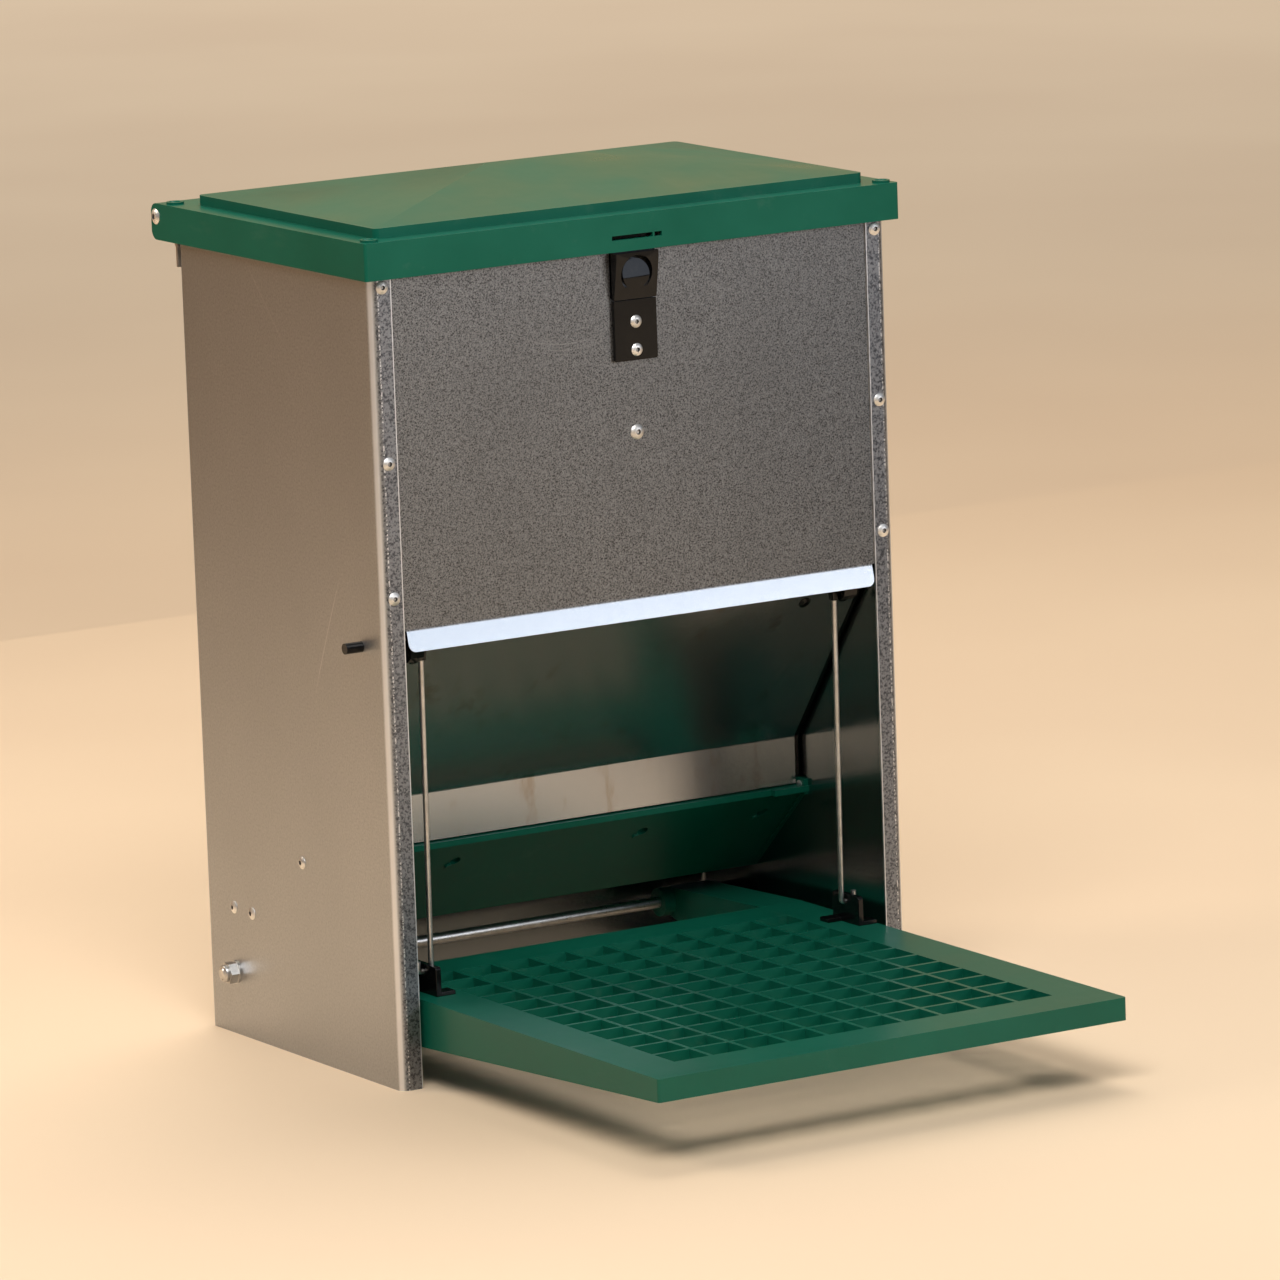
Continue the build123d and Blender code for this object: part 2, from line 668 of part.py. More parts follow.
with BuildPart() as treadle:
    # outer skirts and arm inner walls
    for start in (-treadle_half_width, treadle_half_width - skirt):
        solid_along_x(side_outline, start, skirt)
    for start in (-arm_inner - skirt, arm_inner):
        solid_along_x(inner_outline, start, skirt)
    # arm tops and the solid hubs round the axle
    for start, hub_start in ((-treadle_half_width, -treadle_half_width), (arm_inner, arm_inner - hub_boss)):
        with BuildSketch(Plane.YZ.offset(hub_start)):
            with Locations((axle_y, axle_z)):
                Circle(arm_round)
        extrude(amount=arm_width + hub_boss)
        solid_along_x(
            [
                (treadle_rear - skirt, treadle_top),
                (axle_y, axle_z + arm_round),
                (axle_y, axle_z + arm_round - deck),
                (treadle_rear - skirt, treadle_top - deck),
            ],
            start, arm_width)
    # front and rear skirts
    for low_y, low_z, width in ((treadle_front, front_bottom, treadle_half_width),
                                (treadle_rear - skirt, rear_skirt_bottom, arm_inner + skirt)):
        with BuildSketch(Plane.XY.offset(low_z)):
            with Locations((0, low_y + skirt / 2)):
                Rectangle(2 * width, skirt)
        extrude(amount=treadle_top - low_z)
    # stiffening ribs under the side borders
    with BuildSketch(Plane.XY.offset(treadle_top - bar_depth)):
        with Locations((0, rib_middle_y)):
            with GridLocations(arm_inner + treadle_half_width, rib_pitch, 2, rib_count):
                Rectangle(arm_width, rib_thickness)
    extrude(amount=bar_depth)
    drill_along_x([(axle_y, axle_z)], axle_radius + running_gap, -treadle_half_width - 1,
                  2 * treadle_half_width + 2)
    # deck border with the openings of the grating, then the grating's deeper bars
    with BuildSketch(Plane.XY.offset(treadle_top - deck)):
        with Locations((0, (treadle_front + treadle_rear) / 2)):
            Rectangle(2 * treadle_half_width, treadle_rear - treadle_front)
        with Locations((0, grate_middle)):
            Rectangle(2 * grate_half_width, grate_rear - grate_front, mode=Mode.SUBTRACT)
    extrude(amount=deck)
    corner_edges = treadle.edges().filter_by(Axis.Z).group_by(Axis.Y)[0]
    fillet(corner_edges, 1.5)
    with BuildSketch(Plane.XY.offset(treadle_top - bar_depth)):
        with Locations((0, grate_middle)):
            Rectangle(2 * grate_half_width + bar, grate_rear - grate_front + bar)
            with GridLocations(cell_pitch_x, cell_pitch_y, cell_columns, cell_rows):
                Rectangle(cell_pitch_x - bar, cell_pitch_y - bar, mode=Mode.SUBTRACT)
    extrude(amount=bar_depth)
save(treadle, "treadle")

# ------------------------------------------------------- brackets on the treadle that take the rods
plate_inner = 123.4
plate_thickness = 3.0
plate_front = 7.0
plate_rear = 31.5
plate_top = 59.0
plate_corner = 1.0
foot_thickness = 2.2
foot_reach = 8.0
foot_length = 8.0


def rod_bracket(sign):
    """Upright plate with a hole for the rod; one foot points each way along X."""
    start = plate_inner if sign > 0 else -plate_inner - plate_thickness
    with BuildPart() as bracket:
        solid_along_x(
            [
                (plate_front, treadle_top),
                (plate_front, plate_top - plate_corner),
                (plate_front + plate_corner, plate_top),
                (plate_rear - plate_corner, plate_top),
                (plate_rear, plate_top - plate_corner),
                (plate_rear, treadle_top),
            ],
            start, plate_thickness)
        for foot_x, foot_y in ((start + plate_thickness + foot_reach / 2, plate_front + foot_length / 2),
                               (start - foot_reach / 2, plate_rear - foot_length / 2)):
            with BuildSketch(Plane.XY.offset(treadle_top)):
                with Locations((foot_x, foot_y)):
                    Rectangle(foot_reach, foot_length)
            extrude(amount=foot_thickness)
        drill_along_x([(rod_low_y, rod_low_z)], rod_radius + running_gap, start - 1, plate_thickness + 2)
    return bracket


rod_bracket_left = rod_bracket(-1)
save(rod_bracket_left, "rod_bracket_left")
rod_bracket_right = rod_bracket(1)
save(rod_bracket_right, "rod_bracket_right")

# ------------------------------------------------------------------ pull rods
hook_bend = 1.6
tip_x = 129.0
tip_top = 60.0
rod_end_x = 133.0
with BuildPart() as pull_rod_right:
    with BuildLine() as rod_path:
        FilletPolyline(
            (tip_x, rod_low_y, tip_top),
            (tip_x, rod_low_y, rod_low_z),
            (rod_x, rod_low_y, rod_low_z),
            (rod_x, rod_high_y, rod_high_z),
            (rod_end_x, rod_high_y, rod_high_z),
            radius=hook_bend,
        )
    with BuildSketch(Plane(origin=(tip_x, rod_low_y, tip_top), x_dir=(1, 0, 0), z_dir=(0, 0, -1))):
        Circle(rod_radius)
    sweep()
save(pull_rod_right, "pull_rod_right")
pull_rod_left = mirrored(pull_rod_right, "pull_rod_left")

# ------------------------------------------------------------------ collars at the top of the rods
clip_low = 212.0
clip_high = 221.6
clip_inner = 119.0
clip_outer = 123.05
clip_low_depth = 4.6            # along Y, widening upwards
clip_high_depth = 6.2
clip_low_trim = 0.6
rod_slope = (rod_high_y - rod_low_y) / (rod_high_z - rod_low_z)


def clip_section(z, depth, trim):
    """One end of the tapered collar, across the rod."""
    y = rod_low_y + (z - rod_low_z) * rod_slope
    with BuildSketch(Plane(origin=(0, y, z), x_dir=(1, 0, 0), z_dir=(0, rod_slope, 1))) as section:
        with Locations(((clip_inner + trim + clip_outer) / 2, 0)):
            RectangleRounded(clip_outer - clip_inner - trim, depth, 0.8)
    return section.sketch


with BuildPart() as rod_clip_right:
    loft([clip_section(clip_low, clip_low_depth, clip_low_trim), clip_section(clip_high, clip_high_depth, 0)])
    middle_z = (clip_low + clip_high) / 2
    middle_y = rod_low_y + (middle_z - rod_low_z) * rod_slope
    with BuildSketch(Plane(origin=(rod_x, middle_y, middle_z), x_dir=(1, 0, 0), z_dir=(0, rod_slope, 1))):
        Circle(rod_radius)
    extrude(amount=clip_high - clip_low, both=True, mode=Mode.SUBTRACT)
save(rod_clip_right, "rod_clip_right")
rod_clip_left = mirrored(rod_clip_right, "rod_clip_left")

# ------------------------------------------------------------------ feed flap
bend_y = 97.6
bend_z = 126.8
flap_bottom_z = 101.8
flap_half_width = 145.4
flap_start = 7.0                # the sheet starts this far down the slope from the pivot
hem_height = 8.0
slope_length = ((bend_y - flap_pivot_y) ** 2 + (bend_z - flap_pivot_z) ** 2) ** 0.5
slope_y = (bend_y - flap_pivot_y) / slope_length
slope_z = (bend_z - flap_pivot_z) / slope_length
tab_points = (115.0, 139.0)
tab_rivet_along = 15.0
tab_slope_stop = 22.0


def on_slope(along, above):
    """A (y, z) point along the flap's slope from the pivot, and above it, towards the hopper."""
    return (flap_pivot_y + along * slope_y - above * slope_z,
            flap_pivot_z + along * slope_z + above * slope_y)


with BuildPart() as feed_flap:
    with BuildSketch(Plane.YZ.offset(-flap_half_width)):
        with BuildLine():
            FilletPolyline(
                on_slope(flap_start, sheet / 2),
                (bend_y + sheet / 2, bend_z + sheet / 2 * (1 + slope_z) / slope_y),
                (bend_y + sheet / 2, flap_bottom_z),
                radius=2.0,
            )
        trace(line_width=sheet)
        with Locations((bend_y + 1.5 * sheet, flap_bottom_z + hem_height / 2)):
            Rectangle(sheet, hem_height)
    extrude(amount=2 * flap_half_width)
    for sign in (-1, 1):
        for x in tab_points:
            hole = on_slope(tab_rivet_along, 0)
            with BuildSketch(Plane(origin=(sign * x, *hole), x_dir=(1, 0, 0), z_dir=(0, -slope_z, slope_y))):
                Circle(rivet_shank)
            extrude(amount=3, both=True, mode=Mode.SUBTRACT)
save(feed_flap, "feed_flap")

barrel_radius = 4.5
barrel_start = tab_points[0] - 5
lever_inner = 123.4
lever_outer = 131.0
barrel_end = 148.4
end_plate_inner = 145.8
end_plate_outer = 147.6
end_plate_width = 3.2
end_plate_bottom = 105.5
tab_thickness = 2.0
nose_outline = [
    (9.5, 222.0),
    (11.5, 214.5),
    (15.0, 212.0),
    (21.0, 212.0),
    (flap_pivot_y, flap_pivot_z - barrel_radius),
    (flap_pivot_y, flap_pivot_z + barrel_radius),
    (18.0, 228.6),
    (12.0, 227.6),
]
with BuildPart() as flap_arm_right:
    # barrel and the peg that turns in the side panel
    with BuildSketch(Plane.YZ.offset(barrel_start)):
        with Locations((flap_pivot_y, flap_pivot_z)):
            Circle(barrel_radius)
    extrude(amount=barrel_end - barrel_start)
    with BuildSketch(Plane.YZ.offset(barrel_end)):
        with Locations((flap_pivot_y, flap_pivot_z)):
            Circle(peg_radius)
    extrude(amount=peg_reach - barrel_end)
    # lever nose that the rod hooks into
    solid_along_x(nose_outline, lever_inner, lever_outer - lever_inner)
    # tab riveted to the upper face of the sheet
    solid_along_x(
        [
            on_slope(0, sheet),
            on_slope(tab_slope_stop, sheet),
            on_slope(tab_slope_stop, sheet + tab_thickness),
            on_slope(0, sheet + tab_thickness),
        ],
        barrel_start, end_plate_inner - barrel_start)
    # end plate beside the sheet
    solid_along_x(
        [
            on_slope(0, 0),
            (bend_y, bend_z),
            (bend_y, end_plate_bottom),
            (bend_y + end_plate_width, end_plate_bottom),
            (bend_y + end_plate_width, bend_z + end_plate_width / 3),
            on_slope(0, end_plate_width),
        ],
        end_plate_inner, end_plate_outer - end_plate_inner)
    drill_along_x([(rod_high_y, rod_high_z)], rod_radius + eye_slack, lever_inner - 1, 10)
    for x in tab_points:
        hole = on_slope(tab_rivet_along, 0)
        with BuildSketch(Plane(origin=(x, *hole), x_dir=(1, 0, 0), z_dir=(0, -slope_z, slope_y))):
            Circle(rivet_shank)
        extrude(amount=8, mode=Mode.SUBTRACT)
save(flap_arm_right, "flap_arm_right")
flap_arm_left = mirrored(flap_arm_right, "flap_arm_left")

with BuildPart() as flap_rivets:
    for sign in (-1, 1):
        for x in tab_points:
            hole = on_slope(tab_rivet_along, 0)
            add_rivet((sign * x, *hole), (0, slope_z, -slope_y), (1, 0, 0), sheet + tab_thickness)
save(flap_rivets, "flap_rivets")
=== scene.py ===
"""The looks of the gravity poultry feeder: bevelled pieces, procedural materials, studio light, camera."""

import json
from math import cos, radians, sin

import bmesh
import bpy
from mathutils import Matrix, Vector


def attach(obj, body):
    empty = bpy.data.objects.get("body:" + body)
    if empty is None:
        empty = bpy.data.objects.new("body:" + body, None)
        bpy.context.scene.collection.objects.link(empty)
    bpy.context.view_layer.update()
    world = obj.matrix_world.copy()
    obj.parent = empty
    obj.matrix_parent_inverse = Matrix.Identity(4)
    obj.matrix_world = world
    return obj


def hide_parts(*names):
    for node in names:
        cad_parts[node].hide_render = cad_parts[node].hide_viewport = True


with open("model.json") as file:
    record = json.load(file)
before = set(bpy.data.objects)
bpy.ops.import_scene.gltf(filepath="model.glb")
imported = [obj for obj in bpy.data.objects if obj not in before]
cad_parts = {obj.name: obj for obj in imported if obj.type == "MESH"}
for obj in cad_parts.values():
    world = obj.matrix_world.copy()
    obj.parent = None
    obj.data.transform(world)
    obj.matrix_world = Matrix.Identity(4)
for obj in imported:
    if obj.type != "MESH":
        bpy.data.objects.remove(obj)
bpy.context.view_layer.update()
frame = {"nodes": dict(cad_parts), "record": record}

MM = 0.001
nodes = frame["nodes"]
body_of_node = {}
for body_name, members in frame["record"]["behaviour"]["bodies"].items():
    for member in members:
        body_of_node[member] = body_name
slot_of_node = {entry["node"]: entry["material_slot"] for entry in frame["record"]["subparts"]}


# ------------------------------------------------------------------ small node-tree helper
class Shader:
    """Builds one material's node tree with short calls."""

    def __init__(self, name):
        self.material = bpy.data.materials.new(name)
        self.material.use_nodes = True
        self.tree = self.material.node_tree
        self.tree.nodes.clear()
        self.output = self.add("ShaderNodeOutputMaterial")
        self.surface = self.add("ShaderNodeBsdfPrincipled")
        self.link(self.surface, "BSDF", self.output, "Surface")
        self.coords = self.add("ShaderNodeTexCoord")
        self.last_normal = None

    def add(self, kind, **settings):
        node = self.tree.nodes.new(kind)
        for key, value in settings.items():
            setattr(node, key, value)
        return node

    def link(self, source, out_name, target, in_name):
        """Join two sockets, each given by name or number."""
        self.tree.links.new(source.outputs[out_name], target.inputs[in_name])

    def set(self, **values):
        for key, value in values.items():
            self.surface.inputs[key.replace("_", " ")].default_value = value

    def mapped(self, scale):
        mapping = self.add("ShaderNodeMapping")
        mapping.inputs["Scale"].default_value = scale
        self.link(self.coords, "Object", mapping, "Vector")
        return mapping

    def noise(self, scale, detail=3.0, roughness=0.5, stretch=(1, 1, 1)):
        node = self.add("ShaderNodeTexNoise")
        node.inputs["Scale"].default_value = scale
        node.inputs["Detail"].default_value = detail
        node.inputs["Roughness"].default_value = roughness
        self.link(self.mapped(stretch), "Vector", node, "Vector")
        return node

    def cells(self, scale, stretch=(1, 1, 1), feature="F1"):
        node = self.add("ShaderNodeTexVoronoi", feature=feature)
        node.inputs["Scale"].default_value = scale
        self.link(self.mapped(stretch), "Vector", node, "Vector")
        return node

    def ramp(self, source, out_name, stops):
        node = self.add("ShaderNodeValToRGB")
        elements = node.color_ramp.elements
        while len(elements) < len(stops):
            elements.new(0.5)
        for element, (position, colour) in zip(elements, stops):
            element.position = position
            element.color = (*colour, 1) if len(colour) == 3 else colour
        self.link(source, out_name, node, "Fac")
        return node

    def span(self, source, out_name, low, high, from_low=0.0, from_high=1.0):
        """Remap a value to low..high."""
        node = self.add("ShaderNodeMapRange")
        node.inputs["From Min"].default_value = from_low
        node.inputs["From Max"].default_value = from_high
        node.inputs["To Min"].default_value = low
        node.inputs["To Max"].default_value = high
        self.link(source, out_name, node, "Value")
        return node

    def math(self, operation, first, first_out, second, second_out=None):
        node = self.add("ShaderNodeMath", operation=operation)
        self.link(first, first_out, node, 0)
        if second_out is None:
            node.inputs[1].default_value = second
        else:
            self.tree.links.new(second.outputs[second_out], node.inputs[1])
        return node

    def tint(self, base, base_out, colour, factor, factor_out, blend="MIX"):
        """Mix a flat colour over another node's colour by a factor."""
        node = self.add("ShaderNodeMix", data_type="RGBA", blend_type=blend)
        self.tree.links.new(base.outputs[base_out], node.inputs[6])
        node.inputs[7].default_value = (*colour, 1)
        self.tree.links.new(factor.outputs[factor_out], node.inputs[0])
        return node

    def distance(self, flatten, point):
        """Distance from a point, in metres, with one axis flattened away."""
        node = self.add("ShaderNodeVectorMath", operation="DISTANCE")
        self.link(self.mapped(flatten), "Vector", node, 0)
        node.inputs[1].default_value = [part * keep * MM for part, keep in zip(point, flatten)]
        return node

    def scratch(self, base, flatten, centre, radius, middle, reach, width, colour, amount):
        """Tint a thin arc: part of a circle round centre, within reach of its middle point (all in mm)."""
        away = self.math("SUBTRACT", self.distance(flatten, centre), "Value", radius * MM)
        offset = self.math("ABSOLUTE", away, "Value", 0.0)
        line = self.span(offset, "Value", amount, 0.0, 0.0, width * MM)
        fade = self.span(self.distance(flatten, middle), "Value", 1.0, 0.0, 0.55 * reach * MM, reach * MM)
        mark = self.math("MULTIPLY", line, "Result", fade, "Result")
        return self.tint(base, "Result", colour, mark, "Value")

    def places(self):
        """The object-space coordinates as separate X, Y and Z."""
        node = self.add("ShaderNodeSeparateXYZ")
        self.link(self.coords, "Object", node, "Vector")
        return node

    def band(self, source, out_name, middle, half, soft, amount=1.0):
        """One inside middle +- half, in mm, falling to zero over the next soft mm."""
        away = self.math("ABSOLUTE", self.math("SUBTRACT", source, out_name, middle * MM), "Value", 0.0)
        return self.span(away, "Value", amount, 0.0, half * MM, (half + soft) * MM)

    def both(self, first, second):
        """The product of two masks."""
        return self.math("MULTIPLY", first, 0, second, 0)

    def colour(self, source, out_name="Color"):
        self.link(source, out_name, self.surface, "Base Color")

    def roughness(self, source, out_name):
        self.link(source, out_name, self.surface, "Roughness")

    def bump(self, source, out_name, depth_mm, strength=1.0):
        node = self.add("ShaderNodeBump")
        node.inputs["Strength"].default_value = strength
        node.inputs["Distance"].default_value = depth_mm * MM
        self.link(source, out_name, node, "Height")
        if self.last_normal:
            self.link(self.last_normal, "Normal", node, "Normal")
        self.last_normal = node
        self.link(node, "Normal", self.surface, "Normal")
        return node


# ------------------------------------------------------------------ materials
def galvanised(name, tone, contrast, spangle_mm, base_roughness, flake_amount=0.35, stain=0.0,
               grain_mm=0.02, scratches=(), smooth_below=None, smooth_within=None):
    """Zinc-coated sheet: a fine speckle of crystals over slow cloudy changes of tone.

    smooth_below gives the metal under that height (mm) a smoother and paler finish. smooth_within is
    (half width, depth in mm) of the space whose faces get a smoother finish and a darker zinc tone, which
    is painted shade.
    """
    shader = Shader(name)
    shader.set(Metallic=1.0)
    speckle = shader.noise(1000 / spangle_mm, detail=2.5, roughness=0.6)
    crystals = shader.cells(1000 / (spangle_mm * 1.6))
    cloud = shader.noise(9.0, detail=3.0, roughness=0.55, stretch=(1, 1, 0.7))
    low, high = tone - contrast, tone + contrast
    grain = shader.ramp(speckle, "Fac", [
        (0.34, (low * 0.95, low * 0.98, low * 1.03)),
        (0.47, (tone * 0.96, tone * 0.98, tone * 1.02)),
        (0.68, (high * 0.98, high, high * 1.01)),
    ])
    flake = shader.span(crystals, "Distance", 0.0, flake_amount)
    mixed = shader.tint(grain, "Color", (tone * 0.8, tone * 0.81, tone * 0.82), flake, "Result")
    haze = shader.span(cloud, "Fac", 0.0, 0.28, 0.35, 0.7)
    clouded = shader.tint(mixed, "Result", (tone * 0.72, tone * 0.74, tone * 0.76), haze, "Result")
    last = clouded
    if stain:
        blotch = shader.noise(55.0, detail=4.0, roughness=0.7, stretch=(1, 1, 0.35))
        amount = shader.span(blotch, "Fac", 0.0, stain, 0.58, 0.72)
        last = shader.tint(clouded, "Result", (0.30, 0.19, 0.10), amount, "Result")
    for flatten, centre, radius, middle, reach, width, amount in scratches:
        bright = (min(1.0, tone * 1.7),) * 3
        last = shader.scratch(last, flatten, centre, radius, middle, reach, width, bright, amount)
    places = shader.places()
    swing = 4.0 * grain_mm
    rough = shader.span(speckle, "Fac", base_roughness - swing, base_roughness + swing, 0.3, 0.7)
    if smooth_within:
        # the inner faces get a smoother finish than the outer ones, and a darker flat zinc tone fitted to
        # how bright they look under the lights, which is painted shade
        width, front = smooth_within
        across = shader.math("ABSOLUTE", places, "X", 0.0)
        inner = shader.span(across, "Value", 1.0, 0.0, (width - 0.2) * MM, width * MM)
        behind = shader.span(places, "Y", 0.0, 1.0, front * MM, (front + 0.2) * MM)
        inner_face_mask = shader.both(inner, behind)
        smooth = shader.span(inner_face_mask, "Value", 1.0, 0.45)
        rough = shader.math("MULTIPLY", rough, "Result", smooth, "Result")
        last = shader.tint(last, "Result", (0.345, 0.360, 0.370), inner_face_mask, "Value")
        shader.roughness(rough, "Value")
        last = flange_marks_and_painted_light(shader, last, places, across, speckle)
    elif smooth_below:
        # the lip, under a given height, gets a smoother finish and a paler tone near the other sheets'
        # zinc, beside the rest of the front panel, whose darker tone is painted shade
        lip_mask = shader.span(places, "Z", 1.0, 0.0, (smooth_below - 0.6) * MM, smooth_below * MM)
        paler = shader.math("MULTIPLY", lip_mask, "Result", 0.85)
        last = shader.tint(last, "Result", (0.60, 0.61, 0.61), paler, "Value")
        polish = shader.span(lip_mask, "Result", 1.0, 0.45)
        rough = shader.math("MULTIPLY", rough, "Result", polish, "Result")
        shader.roughness(rough, "Value")
    else:
        shader.roughness(rough, "Result")
    shader.tree.links.new(last.outputs[2], shader.surface.inputs["Base Color"])
    shader.bump(speckle, "Fac", grain_mm, 0.5)
    wave = shader.noise(3.0, detail=1.0)
    shader.bump(wave, "Fac", 1.6, 0.35)
    return shader.material


def flange_marks_and_painted_light(shader, base, places, across, speckle):
    """On the front flanges: zinc darkened as painted shade to match the front panel, with darker specks; a
    painted highlight along the bend and along the inner edge; and a dotted line by the bend.
    """
    front_face = shader.span(places, "Y", 1.0, 0.0, 5.2 * MM, 5.6 * MM)
    flat = shader.span(across, "Value", 1.0, 0.0, 146.8 * MM, 147.6 * MM)
    flange = shader.both(front_face, flat)
    # painted shade: the flange's front face is darkened to match the front panel's tone
    last = shader.tint(base, "Result", (0.60, 0.61, 0.64), flange, "Value", "MULTIPLY")
    specks = shader.both(shader.span(speckle, "Fac", 0.9, 0.0, 0.38, 0.54), flange)
    last = shader.tint(last, "Result", (0.35, 0.36, 0.38), specks, "Value", "MULTIPLY")
    # painted highlight: a bright band along the rounded bend
    painted_bend_highlight = shader.both(shader.band(across, "Value", 148.9, 0.5, 0.8, 0.9), front_wrap(shader, places))
    last = shader.tint(last, "Result", (0.92, 0.93, 0.96), painted_bend_highlight, "Value")
    # painted highlight: a thin bright line along the flange's inner edge
    painted_edge_highlight = shader.both(shader.band(across, "Value", 138.2, 0.25, 0.15, 0.9), front_face)
    last = shader.tint(last, "Result", (0.85, 0.86, 0.88), painted_edge_highlight, "Value")
    dots = shader.span(shader.noise(900.0, detail=1.0), "Fac", 0.0, 1.0, 0.50, 0.60)
    fold = shader.both(shader.band(across, "Value", 145.6, 0.25, 0.2, 0.8), front_face)
    return shader.tint(last, "Result", (0.90, 0.91, 0.93), shader.both(fold, dots), "Value")


def front_wrap(shader, places):
    """The front few millimetres of the side panels, where the sheet turns the corner."""
    return shader.span(places, "Y", 1.0, 0.0, 7.0 * MM, 8.0 * MM)


def green_plastic(name, specular):
    """Injection-moulded green plastic, satin, with a fine texture, slow cloudy changes of tone and lightly
    scuffed patches.
    """
    shader = Shader(name)
    fine = shader.noise(900.0, detail=2.0)
    cloud = shader.noise(14.0, detail=4.0, roughness=0.6)
    base = shader.ramp(cloud, "Fac", [
        (0.30, (0.0025, 0.088, 0.054)),
        (0.70, (0.0040, 0.110, 0.069)),
    ])
    scuff = shader.noise(60.0, detail=5.0, roughness=0.7, stretch=(1, 0.25, 1))
    scuffed = shader.span(scuff, "Fac", 0.0, 0.10, 0.60, 0.75)
    worn = shader.tint(base, "Color", (0.16, 0.24, 0.19), scuffed, "Result")
    shader.tree.links.new(worn.outputs[2], shader.surface.inputs["Base Color"])
    rough = shader.span(cloud, "Fac", 0.27, 0.38, 0.3, 0.7)
    shader.roughness(rough, "Result")
    shader.set(IOR=1.45, Specular_IOR_Level=specular)
    shader.bump(fine, "Fac", 0.02, 0.35)
    return shader.material


def black_plastic():
    """Glossy black moulding with faint dust and smeared patches of uneven gloss."""
    shader = Shader("black_plastic")
    dust = shader.noise(500.0, detail=4.0, roughness=0.7)
    base = shader.ramp(dust, "Fac", [(0.52, (0.0030, 0.0030, 0.0034)), (0.85, (0.016, 0.015, 0.014))])
    shader.colour(base)
    smears = shader.noise(40.0, detail=3.0)
    rough = shader.span(smears, "Fac", 0.09, 0.18, 0.3, 0.7)
    shader.roughness(rough, "Result")
    shader.set(IOR=1.5, Specular_IOR_Level=0.34)
    shader.bump(dust, "Fac", 0.008, 0.3)
    return shader.material


def drawn_steel(name, tone, base_roughness, along=(1, 1, 0.02), pit_mm=0.0):
    """Bright steel with fine lines along its length; where pit_mm is given, its pits are darkened as
    painted shade.
    """
    shader = Shader(name)
    shader.set(Metallic=1.0)
    lines = shader.noise(1800.0, detail=2.0, stretch=along)
    spots = shader.noise(120.0, detail=4.0, roughness=0.7)
    base = shader.ramp(spots, "Fac", [
        (0.35, (tone * 0.78, tone * 0.76, tone * 0.73)),
        (0.62, (tone, tone * 0.99, tone * 0.975)),
    ])
    if pit_mm:
        # painted shade: the colour is darkened towards near-black where ambient occlusion finds a hollow,
        # such as a rivet's pit
        shade = shader.add("ShaderNodeAmbientOcclusion", only_local=True)
        shade.inputs["Distance"].default_value = pit_mm * MM
        pit_shade_mask = shader.span(shade, "AO", 0.95, 0.0, 0.45, 0.80)
        pit_shaded_colour = shader.tint(base, "Color", (0.02, 0.018, 0.016), pit_shade_mask, "Result")
        shader.link(pit_shaded_colour, 2, shader.surface, "Base Color")
    else:
        shader.colour(base)
    rough = shader.span(lines, "Fac", base_roughness - 0.06, base_roughness + 0.10, 0.3, 0.7)
    shader.roughness(rough, "Result")
    shader.bump(lines, "Fac", 0.01, 0.4)
    return shader.material


# scratches: flattened axis, circle centre, radius, middle of the arc, reach, width, amount (mm)
facing_front = (1, 0, 1)
facing_side = (0, 1, 1)
front_scratches = [
    (facing_front, (-38, 0, 428), 66, (-42, 0, 362), 26, 0.5, 0.5),
    (facing_front, (-38, 0, 428), 69, (-34, 0, 359), 20, 0.4, 0.4),
    (facing_front, (-30, 0, 440), 84, (-44, 0, 357), 17, 0.35, 0.35),
]
side_scratches = [
    (facing_side, (0, -845, -202), 1000, (0, 61.5, 222), 36, 0.45, 0.5),
    (facing_side, (0, 840, -300), 1000, (0, 110, 383), 30, 0.35, 0.25),
]
lip_top = 230.0
# one zinc sheet given a different tone per face, fitted to how bright each face looks under these lights:
# the front panel's dark tone is painted shade, and the side and inner tones are lit copies of the same
# sheet
sheet_front_painted_shade = galvanised("galvanised_front_painted_shade", 0.195, 0.15, 0.8, 0.40, flake_amount=0.20,
                         scratches=front_scratches, smooth_below=lip_top)
sheet_side = galvanised("galvanised_side", 0.46, 0.07, 1.2, 0.42, flake_amount=0.25,
                        scratches=side_scratches, smooth_within=(149.5, 9.0))
sheet_inner = galvanised("galvanised_inner", 0.54, 0.02, 1.6, 0.24, flake_amount=0.06, stain=0.45,
                         grain_mm=0.004)
green = green_plastic("green_plastic", 0.30)
green_lid = green_plastic("green_plastic_lid", 0.23)
green_shaded = green_plastic("green_plastic_trough", 0.12)
black = black_plastic()
rod_steel = drawn_steel("bright_steel", 0.70, 0.33)
zinc = drawn_steel("zinc_plate", 0.62, 0.34, along=(1, 1, 1))
rivet_metal = drawn_steel("rivet_aluminium", 0.88, 0.42, along=(1, 1, 1), pit_mm=1.6)

material_of_node = {
    "lid": green_lid,
    "trough": green_shaded,
    # painted shade: the flap's rivets are shown black because they sit in shade behind the lip
    "flap_rivets": black,
    "front_panel": sheet_front_painted_shade,
    "side_panel_left": sheet_side,
    "side_panel_right": sheet_side,
    "back_panel": sheet_side,
    "hopper_baffle": sheet_inner,
    "feed_flap": sheet_inner,
}
material_of_slot = {
    "galvanised": sheet_side,
    "green_plastic": green,
    "black_plastic": black,
    "zinc_plate": zinc,
    "bright_steel": rod_steel,
    "rivet": rivet_metal,
}


def finish_of(node):
    """The material a CAD node is shown with."""
    return material_of_node.get(node, material_of_slot[slot_of_node[node]])


